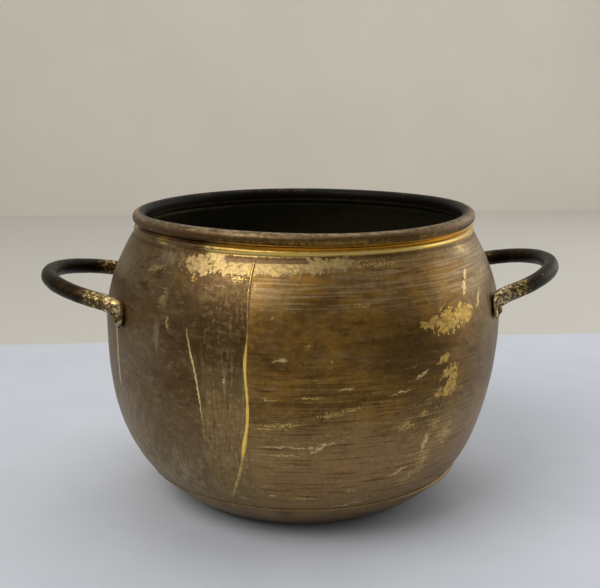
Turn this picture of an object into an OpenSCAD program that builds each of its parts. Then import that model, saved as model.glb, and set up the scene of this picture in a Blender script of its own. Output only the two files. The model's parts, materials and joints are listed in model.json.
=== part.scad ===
// Round brass pot with a wired rim and two riveted loop handles.
// The body is raised from sheet: a wall closed by an upright brazed seam, and a dished
// bottom pan brazed to it. The origin is under the middle of the pot, on the table.
// The handles lie along X, and -Y is the front.

/* [Body] */
// Largest outside radius of the body
body_r = 120; // [110:0.5:130]
// Height of the widest place above the table
belly_z = 110.4; // [109:0.1:112]
// Height that the lower curve would need to close on the axis
lower_h = 120.85; // [119:0.05:122]
// Squareness of the lower curve, where 2 is an ellipse
lower_n = 2.68; // [2.5:0.01:2.8]
// Height that the shoulder curve would need to close on the axis
shoulder_h = 105.5; // [104:0.1:107]
// Squareness of the shoulder curve, where 2 is an ellipse
shoulder_n = 1.9; // [1.85:0.01:1.95]
// Thickness of the sheet
sheet_t = 1.2; // [0.9:0.1:1.4]

/* [Bottom] */
// Height at which the wall turns under
knee_z = 2; // [1.5:0.1:3]
// Height of the brazed ring between the pan and the wall
joint_z = 21; // [18:0.5:26]
// Width of the brazed ring along the sheet
joint_w = 1.2; // [0.8:0.1:1.6]
// How far the middle of the bottom is pushed up
dimple_h = 2; // [1:0.1:3]
// Radius inside which the bottom is pushed up
dimple_r = 50; // [40:1:55]

/* [Seam] */
// Direction of the upright seam, in degrees round the pot from +X
seam_az = -109; // [-112:0.5:-106]
// Width of the brazed seam at the widest place
seam_w = 1.6; // [1:0.1:2.4]
// How far the braze stands proud of the sheet on each side
braze_proud = 0.5; // [0.2:0.1:0.8]

/* [Rim] */
// Radius of the circle that the rim wire follows
rim_r = 98.1; // [97.5:0.1:98.5]
// Height of the rim wire's centre
rim_z = 172.3; // [172.2:0.1:173]
// Radius of the rim wire
wire_r = 2.5; // [2.3:0.1:2.6]
// Height of the swaged line below the rim, at its lower edge
swage_z = 163.3; // [163:0.1:163.4]
// How far the swaged line stands out
swage_proud = 1.1; // [0.6:0.1:1.3]

/* [Handles] */
// Radius of the handle rod
rod_r = 4.7; // [4.2:0.1:5.2]
// Radius of the handle's bend
loop_r = 50; // [48:0.5:52]
// Distance from the pot's axis to the middle of the grip
handle_reach = 153; // [150:0.5:155]
// Height of the left handle's rod where it crosses the body's largest radius
left_z = 130.1; // [128:0.1:132]
// Height of the right handle's rod where it crosses the body's largest radius
right_z = 131.8; // [130:0.1:134]
// Rise of the left handle, in degrees
left_rise = 12; // [10:0.5:16]
// Rise of the right handle, in degrees
right_rise = 14.5; // [10:0.5:16]

/* [Handle feet] */
// Thickness of the flattened foot
foot_t = 3; // [2.4:0.1:3.6]
// Half the width of the foot at its rivet
foot_r = 5.4; // [4.8:0.1:5.8]
// Distance from the rod down to the foot's tip
foot_len = 15; // [14:0.5:17]
// Distance from the rivet up to where the foot would close inside the rod
foot_neck = 24; // [20:1:30]
// Slant of the foot away from the handle, in degrees from upright
foot_slant = 34; // [25:1:38]
// Distance from the rod down to the rivet
rivet_drop = 8; // [7.8:0.1:9]
// Radius of the rivet's shank
rivet_r = 2.1; // [1.8:0.1:2.3]
// Radius of the rivet's outer head
rivet_head_r = 3.2; // [3:0.1:3.3]
// Height of the rivet's outer head
rivet_head_h = 1.7; // [1.2:0.1:2]
// Height of the rivet's hammered inner head
rivet_tail_h = 1.2; // [0.8:0.1:1.5]

/* [Hidden] */
$fn = 72;

brass_dark = "#5f4e30";
brass_pan = "#6b5638";
braze_gold = "#b8923f";
wire_gold = "#9c7c3a";
iron_brown = "#2f2620";
rivet_brown = "#6a5a3a";

left = -1;
right = 1;
front = -1;
back = 1;

// Body curves. Angle 0 is the widest place, and the angle grows away from it.
function lower_pt(a) = [body_r * pow(cos(a), 2 / lower_n),
                        belly_z - lower_h * pow(sin(a), 2 / lower_n)];
function shoulder_pt(a) = [body_r * pow(cos(a), 2 / shoulder_n),
                           belly_z + shoulder_h * pow(sin(a), 2 / shoulder_n)];
function lower_angle(z) = asin(pow((belly_z - z) / lower_h, lower_n / 2));
function shoulder_angle(z) = asin(pow((z - belly_z) / shoulder_h, shoulder_n / 2));
function shoulder_r(z) = shoulder_pt(shoulder_angle(z))[0];

// The knee is an arc from the flat of the base to the lower curve.
knee_a = lower_angle(knee_z);
knee_step = lower_pt(knee_a - 0.5) - lower_pt(knee_a);
knee_turn = atan2(knee_step[1], knee_step[0]);
knee_rad = knee_z / (1 - cos(knee_turn));
flat_r = lower_pt(knee_a)[0] - knee_rad * sin(knee_turn);

// The joint between the pan and the wall, as two angles on the lower curve.
joint_a = lower_angle(joint_z);
mm_per_degree = norm(lower_pt(joint_a - 0.5) - lower_pt(joint_a + 0.5));
joint_half = joint_w / 2 / mm_per_degree;
joint_low = joint_a + joint_half;
joint_high = joint_a - joint_half;

// Outside points of the bottom pan, from the axis outwards.
dimple_steps = 5;
knee_steps = 4;
pan_steps = 7;
pan_path = concat(
    [for (i = [0:dimple_steps]) let (k = i / dimple_steps) [k * dimple_r, dimple_h * pow(1 - k * k, 2)]],
    [for (i = [0:knee_steps - 1]) let (a = knee_turn * i / knee_steps)
        [flat_r + knee_rad * sin(a), knee_rad * (1 - cos(a))]],
    [for (i = [0:pan_steps]) lower_pt(knee_a + (joint_low - knee_a) * i / pan_steps)]);

// Outside points of the wall, from the joint up to the swaged line.
wall_low_steps = 15;
shoulder_steps = 13;
swage_a = shoulder_angle(swage_z);
belly_path = concat(
    [for (i = [0:wall_low_steps]) lower_pt(joint_high * (1 - i / wall_low_steps))],
    [for (i = [1:shoulder_steps]) shoulder_pt(swage_a * i / shoulder_steps)]);

// The swaged line is a low round ridge on the straight run from the shoulder to the neck.
mouth_r = rim_r - wire_r - sheet_t;
neck_r = rim_r - wire_r;
swage_len = [-2.9, 4.9];
swage_steps = 8;
swage_out = [swage_len[1], -swage_len[0]] / norm(swage_len);
swage_foot = shoulder_pt(swage_a);
swage_path = [for (i = [1:swage_steps]) let (k = i / swage_steps)
    swage_foot + k * swage_len + swage_proud * pow(sin(180 * k), 2) * swage_out];

// Just over the ridge the sheet turns in, close under the curl, and then up to the neck.
neck_low_z = swage_z + swage_len[1] + 0.7;
neck_bend = 0.9;
neck_path = [[neck_r + neck_bend, neck_low_z - neck_bend],
             [neck_r + neck_bend / 4, neck_low_z - neck_bend / 2],
             [neck_r, neck_low_z]];

outer_path = concat(belly_path, swage_path, neck_path);

// Unit outward direction at one point of a path, from its neighbours.
function across(p, q) = [q[1] - p[1], p[0] - q[0]] / norm(q - p);
function out_dir(path, i) = across(path[max(i - 1, 0)], path[min(i + 1, len(path) - 1)]);
// A path moved outwards by d, or inwards where d is negative.
function moved(path, d) = [for (i = [0:len(path) - 1]) path[i] + d * out_dir(path, i)];
function reversed(path) = [for (i = [len(path) - 1:-1:0]) path[i]];
function part_of(path, first, last) = [for (i = [first:last]) path[i]];
function on_axis(path) = concat([[0, path[0][1]]], path, [[0, path[len(path) - 1][1]]]);

// The curl wraps outwards over the wire and stops short of the neck.
curl_end = -115;
curl_steps = 24;
function curl_pt(r, k) = let (a = 180 + (curl_end - 180) * k)
    [rim_r + r * cos(a), rim_z + r * sin(a)];
curl_inside = [for (i = [0:curl_steps]) curl_pt(wire_r, i / curl_steps)];
curl_outside = [for (i = [curl_steps:-1:0]) curl_pt(wire_r + sheet_t, i / curl_steps)];

// The inside of the wall follows the outside, apart from the bend under the upright mouth.
belly_and_swage = concat(belly_path, swage_path);
mouth_low_z = neck_low_z - 0.7;
bend_low_z = mouth_low_z - neck_bend;
inner_bend = [[mouth_r + 2 * neck_bend, bend_low_z - neck_bend / 4],
              [mouth_r + neck_bend / 2, bend_low_z],
              [mouth_r, mouth_low_z]];
inner_path = concat(moved(part_of(belly_and_swage, 0, len(belly_and_swage) - 2), -sheet_t), inner_bend);

// The upright seam runs from the joint to just under the shoulder's last bend.
seam_last = wall_low_steps + shoulder_steps - 1;
seam_path = part_of(belly_path, 0, seam_last);
seam_turn = seam_w / body_r * 180 / PI;

// Feet and rivets: the directions are measured from the handle's own side.
loop_centre = handle_reach - loop_r;
wall_bend = acos((pow(body_r, 2) - pow(loop_centre, 2) - pow(loop_r, 2)) / (2 * loop_centre * loop_r));
foot_turn = asin(loop_r * sin(wall_bend) / body_r);
rivet_turn = foot_turn + rivet_drop * sin(foot_slant) / body_r * 180 / PI;
head_ball_r = (pow(rivet_head_r, 2) + pow(rivet_head_h, 2)) / (2 * rivet_head_h);
tail_ball_r = (pow(rivet_head_r, 2) + pow(rivet_tail_h, 2)) / (2 * rivet_tail_h);

function side_z(side) = side == left ? left_z : right_z;
function side_rise(side) = side == left ? left_rise : right_rise;
function rod_root_z(side) = side_z(side) - body_r * (1 - cos(foot_turn)) * tan(side_rise(side));
function rivet_z(side) = rod_root_z(side) - rivet_drop * cos(foot_slant);

// Solid of the body's outer shape, grown by d, over the heights that the handles reach: a few
// steps below the widest place and more above it.
block_first = wall_low_steps - 4;
block_last = wall_low_steps + 9;
module body_block(d) {
    rotate_extrude()
        polygon(on_axis(part_of(moved(belly_path, d), block_first, block_last)));
}

// Solid of the body's hollow, over the same heights.
module hollow_block() {
    body_block(-sheet_t);
}

// Puts its children at a foot: +X leads out of the wall, and +Z is up.
module at_foot(side, end, turn, z) {
    // The left side is the right side turned half round, so its ends change over.
    translate([0, 0, z])
        rotate([0, 0, side == right ? end * turn : 180 - end * turn])
            children();
}

// A cylinder that leads straight out of the wall at a rivet, between two radii.
module radial_pin(side, end, r, from, to) {
    at_foot(side, end, rivet_turn, rivet_z(side))
        translate([from, 0, 0])
            rotate([0, 90, 0])
                cylinder(r = r, h = to - from);
}

// A rivet's hole, long enough to pass through the foot and the wall.
hole_reach = 20;
module rivet_hole(side, end) {
    radial_pin(side, end, rivet_r, body_r - hole_reach, body_r + hole_reach);
}

module rivet_holes() {
    for (side = [left, right])
        for (end = [front, back])
            rivet_hole(side, end);
}

// The wall: one sheet from the base joint to the curl that holds the rim wire.
module wall() {
    color(brass_dark)
        difference() {
            rotate_extrude()
                polygon(concat(outer_path, curl_inside, curl_outside, reversed(inner_path)));
            rotate([0, 0, seam_az - seam_turn / 2])
                rotate_extrude(angle = seam_turn)
                    polygon(seam_slot_outline());
            rivet_holes();
        }
}

// The slot reaches past the lower edge of the wall and past both faces of the sheet.
slot_over = 3;
slot_below = 2;
slot_path = concat([lower_pt(joint_high + slot_below)], seam_path);
function seam_slot_outline() = concat(moved(slot_path, slot_over),
                                      reversed(moved(slot_path, -sheet_t - slot_over)));

// The brazed seam fills the slot and stands a little proud inside and outside.
module wall_seam() {
    color(braze_gold)
        rotate([0, 0, seam_az - seam_turn / 2])
            rotate_extrude(angle = seam_turn)
                polygon(concat(moved(seam_path, braze_proud),
                               reversed(moved(seam_path, -sheet_t - braze_proud))));
}

// The dished bottom, which rests on a flat ring round its pushed-up middle.
pan_inside = concat([[0, dimple_h + sheet_t]], part_of(moved(pan_path, -sheet_t), 1, len(pan_path) - 1));
module bottom_pan() {
    color(brass_pan)
        rotate_extrude()
            polygon(concat(pan_path, reversed(pan_inside)));
}

// The ring of braze between the edges of the pan and the wall.
module base_braze() {
    pan_out = pan_path[len(pan_path) - 1];
    pan_in = pan_inside[len(pan_inside) - 1];
    wall_out = outer_path[0];
    wall_in = inner_path[0];
    bulge = braze_proud * across(pan_out, wall_out);
    color(braze_gold)
        rotate_extrude()
            polygon([pan_out, (pan_out + wall_out) / 2 + bulge, wall_out,
                     wall_in, (pan_in + wall_in) / 2 - bulge, pan_in]);
}

// The wire inside the curl, which stiffens the rim. It lies a hair clear of the sheet.
wire_clearance = 0.02;
module rim_wire() {
    color(wire_gold)
        rotate_extrude()
            translate([rim_r, rim_z])
                circle(r = wire_r - wire_clearance);
}

// Flat outline of a foot: it hangs from the rod, widens at the rivet and narrows to its tip.
foot_steps = 10;
foot_steps_above = 3;
foot_squareness = 0.7;
function foot_half(d) = let (span = d < rivet_drop ? foot_neck : foot_len - rivet_drop,
                             k = (d - rivet_drop) / span)
    foot_r * pow(max(0, 1 - k * k), foot_squareness);
function foot_d(i) = foot_len * i / foot_steps;
foot_right = [for (i = [-foot_steps_above:foot_steps]) [foot_half(foot_d(i)), -foot_d(i)]];
foot_left = [for (i = [foot_steps - 1:-1:-foot_steps_above]) [-foot_half(foot_d(i)), -foot_d(i)]];
module foot_outline() {
    polygon(concat(foot_right, foot_left));
}

// The end of the rod, hammered to a foot that lies on the wall. It is cut from a deep block.
foot_block = 30;
module foot(side, end) {
    slant = side * end * foot_slant;
    intersection() {
        at_foot(side, end, rivet_turn, rivet_z(side))
            translate([body_r - foot_block / 2, 0, 0])
                rotate([90, 0, 90])
                    linear_extrude(height = foot_block)
                        rotate([0, 0, slant])
                            translate([0, rivet_drop])
                                foot_outline();
        body_block(foot_t);
    }
}

// The bent rod: a round arc that rises away from the wall. Its ends run on into the wall, and
// the body's shape is cut off them.
bend_half = 93;
module rod(side) {
    rise = side_rise(side);
    translate([side * body_r, 0, side_z(side)])
        rotate([0, -side * rise, 0])
            translate([side * ((handle_reach - body_r) / cos(rise) - loop_r), 0, 0])
                rotate([0, 0, (side == right ? 0 : 180) - bend_half])
                    rotate_extrude(angle = 2 * bend_half)
                        translate([loop_r, 0])
                            circle(r = rod_r);
}

module handle(side) {
    color(iron_brown)
        difference() {
            union() {
                rod(side);
                for (end = [front, back])
                    foot(side, end);
            }
            body_block(0);
            for (end = [front, back])
                rivet_hole(side, end);
        }
}

module handle_left() {
    handle(left);
}

module handle_right() {
    handle(right);
}

// A rivet: round head on the foot, shank through foot and wall, hammered head inside.
shank_in_head = 0.6;
module rivet(side, end) {
    wall_r = shoulder_r(rivet_z(side));
    color(rivet_brown) {
        radial_pin(side, end, rivet_r, wall_r - sheet_t - shank_in_head, wall_r + foot_t + shank_in_head);
        difference() {
            at_foot(side, end, rivet_turn, rivet_z(side))
                translate([wall_r + foot_t + rivet_head_h - head_ball_r, 0, 0])
                    sphere(r = head_ball_r);
            body_block(foot_t);
        }
        intersection() {
            at_foot(side, end, rivet_turn, rivet_z(side))
                translate([wall_r - sheet_t - rivet_tail_h + tail_ball_r, 0, 0])
                    sphere(r = tail_ball_r);
            hollow_block();
        }
    }
}

module rivet_left_front() {
    rivet(left, front);
}

module rivet_left_back() {
    rivet(left, back);
}

module rivet_right_front() {
    rivet(right, front);
}

module rivet_right_back() {
    rivet(right, back);
}

wall();
wall_seam();
bottom_pan();
base_braze();
rim_wire();
handle_left();
handle_right();
rivet_left_front();
rivet_left_back();
rivet_right_front();
rivet_right_back();
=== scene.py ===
"""Round brass pot with a wired rim and two riveted loop handles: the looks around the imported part.

Lengths are in metres, and angles in degrees. A bearing is a direction round the pot, counted from -Y,
the front, towards +X, the right handle. Finishes measure the pot in millimetres.
"""

import json
import math

import bmesh
import bpy
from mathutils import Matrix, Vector, noise
from mathutils.bvhtree import BVHTree


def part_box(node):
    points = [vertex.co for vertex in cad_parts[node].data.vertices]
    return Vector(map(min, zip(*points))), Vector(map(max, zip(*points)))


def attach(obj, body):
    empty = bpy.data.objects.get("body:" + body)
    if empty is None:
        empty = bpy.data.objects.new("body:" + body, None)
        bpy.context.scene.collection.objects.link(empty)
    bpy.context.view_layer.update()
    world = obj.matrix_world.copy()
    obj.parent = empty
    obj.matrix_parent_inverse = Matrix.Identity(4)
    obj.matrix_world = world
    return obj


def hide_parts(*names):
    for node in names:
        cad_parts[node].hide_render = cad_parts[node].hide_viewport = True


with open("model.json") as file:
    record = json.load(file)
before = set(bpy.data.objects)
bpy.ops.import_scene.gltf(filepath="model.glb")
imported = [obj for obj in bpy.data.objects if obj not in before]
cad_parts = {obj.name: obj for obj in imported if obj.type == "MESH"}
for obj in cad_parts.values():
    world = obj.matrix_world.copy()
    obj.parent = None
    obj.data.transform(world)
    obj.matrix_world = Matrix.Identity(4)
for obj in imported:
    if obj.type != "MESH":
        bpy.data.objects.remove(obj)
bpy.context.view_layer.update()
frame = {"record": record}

MM = 0.001
TURN = 2 * math.pi
MERGE = 1e-6                                # points closer than this are one


# ---------------------------------------------------------------- node trees

class Value:
    """An output socket. Arithmetic on it adds Math nodes to its tree."""

    def __init__(self, tree, socket):
        self.tree = tree
        self.socket = socket

    def math(self, operation, *others, clamp=False):
        return self.tree.add("ShaderNodeMath", [self, *others], operation=operation, use_clamp=clamp)

    def __add__(self, other):
        return self.math("ADD", other)

    def __radd__(self, other):
        return self.math("ADD", other)

    def __sub__(self, other):
        return self.math("SUBTRACT", other)

    def __rsub__(self, other):
        return self.tree.add("ShaderNodeMath", [other, self], operation="SUBTRACT")

    def __mul__(self, other):
        return self.math("MULTIPLY", other)

    def __rmul__(self, other):
        return self.math("MULTIPLY", other)

    def __truediv__(self, other):
        return self.math("DIVIDE", other)

    def __rtruediv__(self, other):
        return self.tree.add("ShaderNodeMath", [other, self], operation="DIVIDE")

    def __pow__(self, other):
        return self.math("POWER", other)

    def __neg__(self):
        return self.math("MULTIPLY", -1.0)

    def __abs__(self):
        return self.math("ABSOLUTE")

    def limited(self):
        return self.math("ADD", 0.0, clamp=True)

    def most(self, other):
        return self.math("MAXIMUM", other)


class Tree:
    """A node tree with one way to add any node."""

    def __init__(self, node_tree):
        self.nodes = node_tree.nodes
        self.links = node_tree.links

    def node(self, kind, inputs=(), **settings):
        """Adds a node: its settings first, then the values or links of its inputs, by place or name."""
        made = self.nodes.new(kind)
        for name, value in settings.items():
            setattr(made, name, value)
        pairs = inputs.items() if isinstance(inputs, dict) else enumerate(inputs)
        for key, value in pairs:
            if isinstance(value, Value):
                self.links.new(value.socket, made.inputs[key])
            else:
                made.inputs[key].default_value = value
        return made

    def out(self, made, name=0):
        return Value(self, made.outputs[name])

    def add(self, kind, inputs=(), output=0, **settings):
        return self.out(self.node(kind, inputs, **settings), output)

    def joined(self, x, y, z):
        return self.add("ShaderNodeCombineXYZ", [x, y, z])

    def split(self, vector):
        made = self.node("ShaderNodeSeparateXYZ", [vector])
        return [self.out(made, axis) for axis in "XYZ"]

    def scaled(self, vector, factor):
        return self.add("ShaderNodeVectorMath", {0: vector, "Scale": factor}, operation="SCALE")

    def noise(self, vector, detail, seed, roughness=0.5, output=0):
        """Soft noise, whose lumps are about as large as one unit of the vector."""
        return self.add("ShaderNodeTexNoise", {
            "Vector": vector, "W": seed, "Scale": 1.0, "Detail": detail, "Roughness": roughness},
            output, noise_dimensions="4D")


class Shape(Tree):
    """A Geometry Nodes tree with named inputs, given as name -> (socket type, value)."""

    def __init__(self, name, inputs):
        self.group = bpy.data.node_groups.new(name, "GeometryNodeTree")
        super().__init__(self.group)
        self.socket("Geometry", "INPUT", "Geometry")
        for label, (kind, value) in inputs.items():
            self.socket(label, "INPUT", kind).default_value = value
        self.socket("Material", "INPUT", "Material")
        self.socket("Geometry", "OUTPUT", "Geometry")
        self.inputs = self.node("NodeGroupInput")

    def socket(self, label, side, kind):
        return self.group.interface.new_socket(label, in_out=side, socket_type="NodeSocket" + kind)

    def given(self, label):
        return self.out(self.inputs, label)

    def position(self):
        return self.add("GeometryNodeInputPosition")

    def end(self, geometry):
        """Ends as every tree ends: Realize Instances, Set Material, Group Output."""
        solid = self.add("GeometryNodeRealizeInstances", [geometry])
        material = self.given("Material")
        dressed = self.add("GeometryNodeSetMaterial", {"Geometry": solid, "Material": material})
        self.node("NodeGroupOutput", [dressed])
        return self.group


# ---------------------------------------------------------------- sizes of the pot

record = frame["record"]
mounts = {m["name"]: m for m in record["mounts"]}
wall_low, wall_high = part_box("wall")
pan_top_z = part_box("bottom_pan")[1].z
wire_low, wire_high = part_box("rim_wire")

body_r = wall_high.x
rim_top = wall_high.z
mouth_r = mounts["mouth"]["dims"]["r_mm"] * MM
wire_r = (wire_high.z - wire_low.z) / 2
rim_z = (wire_high.z + wire_low.z) / 2
rim_r = wire_high.x - wire_r
curl_r = rim_top - rim_z
sheet_t = curl_r - wire_r
joint_z = (pan_top_z + wall_low.z) / 2

# The body's curves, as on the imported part: the widest height, then each half's height and squareness,
# then the knee where the bottom turns up and the dimple that the pot doesn't stand on.
belly_z = 0.1104
lower_h, lower_power = 0.12085, 2.68
shoulder_h, shoulder_power = 0.1055, 1.9
knee_z = 0.002
dimple_r, dimple_h = 0.050, 0.002


def lower_point(a):
    a = math.radians(a)
    return (body_r * math.cos(a) ** (2 / lower_power), belly_z - lower_h * math.sin(a) ** (2 / lower_power))


def shoulder_point(a):
    a = math.radians(a)
    return (body_r * math.cos(a) ** (2 / shoulder_power),
            belly_z + shoulder_h * math.sin(a) ** (2 / shoulder_power))


def lower_angle(z):
    return math.degrees(math.asin(((belly_z - z) / lower_h) ** (lower_power / 2)))


def shoulder_angle(z):
    return math.degrees(math.asin(((z - belly_z) / shoulder_h) ** (shoulder_power / 2)))


def steps(count, first=0.0, last=1.0):
    return [first + (last - first) * i / count for i in range(count + 1)]


def smoothstep(x, low=0.0, high=1.0):
    t = min(max((x - low) / (high - low), 0.0), 1.0)
    return t * t * (3 - 2 * t)


def mixed(a, b, k):
    return a + (b - a) * k


def outward(path, i):
    (r0, z0), (r1, z1) = path[max(i - 1, 0)], path[min(i + 1, len(path) - 1)]
    length = math.hypot(r1 - r0, z1 - z0)
    return (z1 - z0) / length, (r0 - r1) / length


def moved(path, d):
    made = []
    for i, (r, z) in enumerate(path):
        nr, nz = outward(path, i)
        made.append((max(r + d * nr, 0.0), z + d * nz))
    return made


def on_rim(radius, a):
    """Point on a circle round the rim wire's middle, at an angle in radians."""
    return rim_r + radius * math.cos(a), rim_z + radius * math.sin(a)


# The ridge under the rim: how far below the rim it starts, where it runs to from there, and its height.
RIDGE_DROP = 0.009
RIDGE_RUN = Vector((-0.0029, 0.0049))
RIDGE_HEIGHT = 0.0011
NECK_LIFT = 0.0007                          # from the ridge's top to the neck under the curl
NECK_BEND = 0.0009
CURL_FROM, CURL_TO = 180, -115              # the curl's turn over the wire, from neck to free edge
# Past that share, the soot on the curl's inner half is also painted shade.
CURL_CLEAN = 0.645                          # share of the curl, from its free edge, that has no soot


def wall_profile():
    """Outline of the wall's sheet, and where on it the soot starts, which on the curl's inner half is also
    painted shade.

    It runs up the outside and round the wire to the curl's free edge, then back over the curl and down
    the inside. The soot starts just over the top."""
    joint_a = lower_angle(wall_low.z)
    ridge_z = rim_z - RIDGE_DROP
    top_a = shoulder_angle(ridge_z)
    belly = [lower_point(joint_a * (1 - k)) for k in steps(26)]
    belly += [shoulder_point(top_a * k) for k in steps(24)[1:]]
    foot = Vector(belly[-1])
    out = Vector((RIDGE_RUN.y, -RIDGE_RUN.x)).normalized() * RIDGE_HEIGHT
    belly += [tuple(foot + RIDGE_RUN * k + out * math.sin(math.pi * k) ** 2) for k in steps(20)[1:]]
    neck_z = ridge_z + RIDGE_RUN.y + NECK_LIFT
    neck_r = rim_r - wire_r
    bend = NECK_BEND
    outside = belly + [(neck_r + bend, neck_z - bend), (neck_r + bend / 4, neck_z - bend / 2),
                       (neck_r, neck_z)]
    curl_angles = [math.radians(a) for a in steps(26, CURL_FROM, CURL_TO)]
    round_wire = [on_rim(wire_r, a) for a in curl_angles]
    round_curl = [on_rim(curl_r, a) for a in curl_angles]
    mouth_z = neck_z - NECK_LIFT
    inside = moved(belly[:-1], -sheet_t) + [(mouth_r + 2 * bend, mouth_z - bend * 1.25),
                                            (mouth_r + bend / 2, mouth_z - bend), (mouth_r, mouth_z)]
    soot_from = len(outside) + len(round_wire) + round(len(round_curl) * CURL_CLEAN)
    return outside + round_wire + round_curl[::-1] + inside[::-1], soot_from


def pan_profile():
    """Outline of the bottom pan, out from the axis and back inside, and where its soot starts."""
    knee_a = lower_angle(knee_z)
    (r0, z0), (r1, z1) = lower_point(knee_a), lower_point(knee_a - 0.5)
    knee_turn = math.atan2(z1 - z0, r1 - r0)
    knee_rad = knee_z / (1 - math.cos(knee_turn))
    flat_r = r0 - knee_rad * math.sin(knee_turn)
    dimple = [(k * dimple_r, dimple_h * (1 - k * k) ** 2) for k in steps(14)]
    knee = [(flat_r + knee_rad * math.sin(knee_turn * k), knee_rad * (1 - math.cos(knee_turn * k)))
            for k in steps(8)[:-1]]
    rise = [lower_point(knee_a + (lower_angle(pan_top_z) - knee_a) * k) for k in steps(14)]
    outside = dimple + knee + rise
    inside = [(0.0, dimple_h + sheet_t)] + moved(outside, -sheet_t)[1:]
    return outside + inside[::-1], len(outside)


# ---------------------------------------------------------------- making meshes

def add_to_scene(name, data):
    made = bpy.data.objects.new(name, data)
    bpy.context.scene.collection.objects.link(made)
    return made


def mesh_object(name, verts, edges=(), faces=()):
    mesh = bpy.data.meshes.new(name)
    mesh.from_pydata([tuple(v) for v in verts], edges, faces)
    return add_to_scene(name, mesh)


def polyline(name, points, closed=False):
    edges = [(i, i + 1) for i in range(len(points) - 1)]
    if closed:
        edges.append((len(points) - 1, 0))
    return mesh_object(name, points, edges)


def grown(seed_object, group, material, **values):
    """Runs a tree on an object and leaves the result as its own plain, closed, smooth mesh.

    A value's name is its input's, in small letters and with _ for a space."""
    modifier = seed_object.modifiers.new("Shape", "NODES")
    modifier.node_group = group
    sockets = {s.name: s.identifier for s in group.interface.items_tree if s.in_out == "INPUT"}
    for name, value in {**values, "material": material}.items():
        modifier[sockets[name.replace("_", " ").capitalize()]] = value
    evaluated = seed_object.evaluated_get(bpy.context.evaluated_depsgraph_get())
    mesh = bpy.data.meshes.new_from_object(evaluated)
    seed_object.modifiers.remove(modifier)
    seed_object.data = mesh
    mesh.name = seed_object.name
    tidy_mesh(mesh)
    return seed_object


def tidy_mesh(mesh):
    """Merges doubles, turns the faces outwards and shades them smooth."""
    work = bmesh.new()
    work.from_mesh(mesh)
    bmesh.ops.remove_doubles(work, verts=work.verts, dist=MERGE)
    bmesh.ops.recalc_face_normals(work, faces=work.faces)
    for face in work.faces:
        face.smooth = True
    work.to_mesh(mesh)
    work.free()


# ---------------------------------------------------------------- the spun sheet

FLAT_NARROWNESS = 6.0                       # the larger, the narrower the flattened place is
SOUND_HEIGHT, SOUND_REACH = 0.022, 0.030    # dents fade out below this height and inside this radius
SWAY_RISE = 0.02                            # height over which the rim's sway sets in


def spun_sheet_tree():
    """Turns an outline round the axis and leaves it slightly dented, as hand-raised sheet is."""
    tree = Shape("Spun sheet", {
        "Segments": ("Int", 360), "Points": ("Int", 10), "Widest radius": ("Float", body_r),
        "Dent depth": ("Float", 0.0), "Dent size": ("Float", 0.05),
        "Hammer depth": ("Float", 0.0), "Hammer size": ("Float", 0.01),
        "Flat depth": ("Float", 0.0), "Flat direction": ("Vector", (1, 0, 0)),
        "Flat height": ("Float", 0.05), "Flat reach": ("Float", 0.03),
        "Rim sway": ("Float", 0.0), "Rim start": ("Float", 0.15),
        "Soot from": ("Int", 0), "Soot and shade fade": ("Int", 2), "Seed": ("Float", 0.0)})
    given = tree.given

    # A grid is bent round: its columns are the turns, and its rows the outline's points.
    sheet = tree.add("GeometryNodeMeshGrid", {
        "Size X": 1.0, "Size Y": 1.0, "Vertices X": given("Segments") + 1,
        "Vertices Y": given("Points")}, "Mesh")
    column, row, _ = tree.split(tree.position())
    angle = (column + 0.5) * TURN
    row = (row + 0.5) * (given("Points") - 1)
    outline = tree.add("GeometryNodeSampleIndex", {
        "Geometry": given("Geometry"), "Value": tree.position(), "Index": row.math("ROUND")},
        data_type="FLOAT_VECTOR", domain="POINT")
    radius, _, height = tree.split(outline)
    east, north = angle.math("COSINE"), angle.math("SINE")

    # The dents are read off a straight cylinder, so that both faces of the sheet move as one.
    around = tree.joined(east * given("Widest radius"), north * given("Widest radius"), height)
    dent = tree.noise(tree.scaled(around, 1 / given("Dent size")), 1.0, given("Seed"))
    blow = tree.add("ShaderNodeTexVoronoi", {
        "Vector": tree.scaled(around, 1 / given("Hammer size")), "W": given("Seed"), "Scale": 1.0,
        "Smoothness": 0.6}, voronoi_dimensions="4D", feature="SMOOTH_F1")
    flat_east, flat_north, _ = tree.split(given("Flat direction"))
    facing = east * flat_east + north * flat_north
    level = (height - given("Flat height")) / given("Flat reach")
    flat = ((facing - 1.0) * FLAT_NARROWNESS - level * level).math("EXPONENT")
    sunk = dent * given("Dent depth") + blow * given("Hammer depth") + flat * given("Flat depth")
    sunk = sunk * (height / SOUND_HEIGHT).limited() * (radius / SOUND_REACH).limited()

    # The rim is no longer quite round or level.
    swayed = ((height - given("Rim start")) / SWAY_RISE).limited()
    sway = given("Rim sway") * swayed * (east * east + east * 0.25)
    wave = ((angle * 2 + 0.8).math("SINE") + (angle * 3 + 2.1).math("SINE") - 2.0) * 0.25
    new_radius = (radius - sunk + sway).most(0.0)
    new_height = height + wave * given("Rim sway") * swayed
    moved_to = tree.joined(new_radius * east, new_radius * north, new_height)

    # The soot, which on the curl's inner half is also painted shade, is stored while the grid is still flat,
    # because it is read off the rows.
    soot_and_shade_share = ((row - given("Soot from")) / given("Soot and shade fade")).limited()
    marked = tree.add("GeometryNodeStoreNamedAttribute", {
        "Geometry": sheet, "Name": "soot_and_shade", "Value": soot_and_shade_share}, data_type="FLOAT", domain="POINT")
    shaped = tree.add("GeometryNodeSetPosition", {"Geometry": marked, "Position": moved_to})
    return tree.end(tree.add("GeometryNodeMergeByDistance", {"Geometry": shaped, "Distance": MERGE}))


spun_sheet = spun_sheet_tree()


def direction(bearing):
    """Level unit vector towards a bearing."""
    a = math.radians(bearing)
    return Vector((math.sin(a), -math.cos(a), 0.0))


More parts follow.
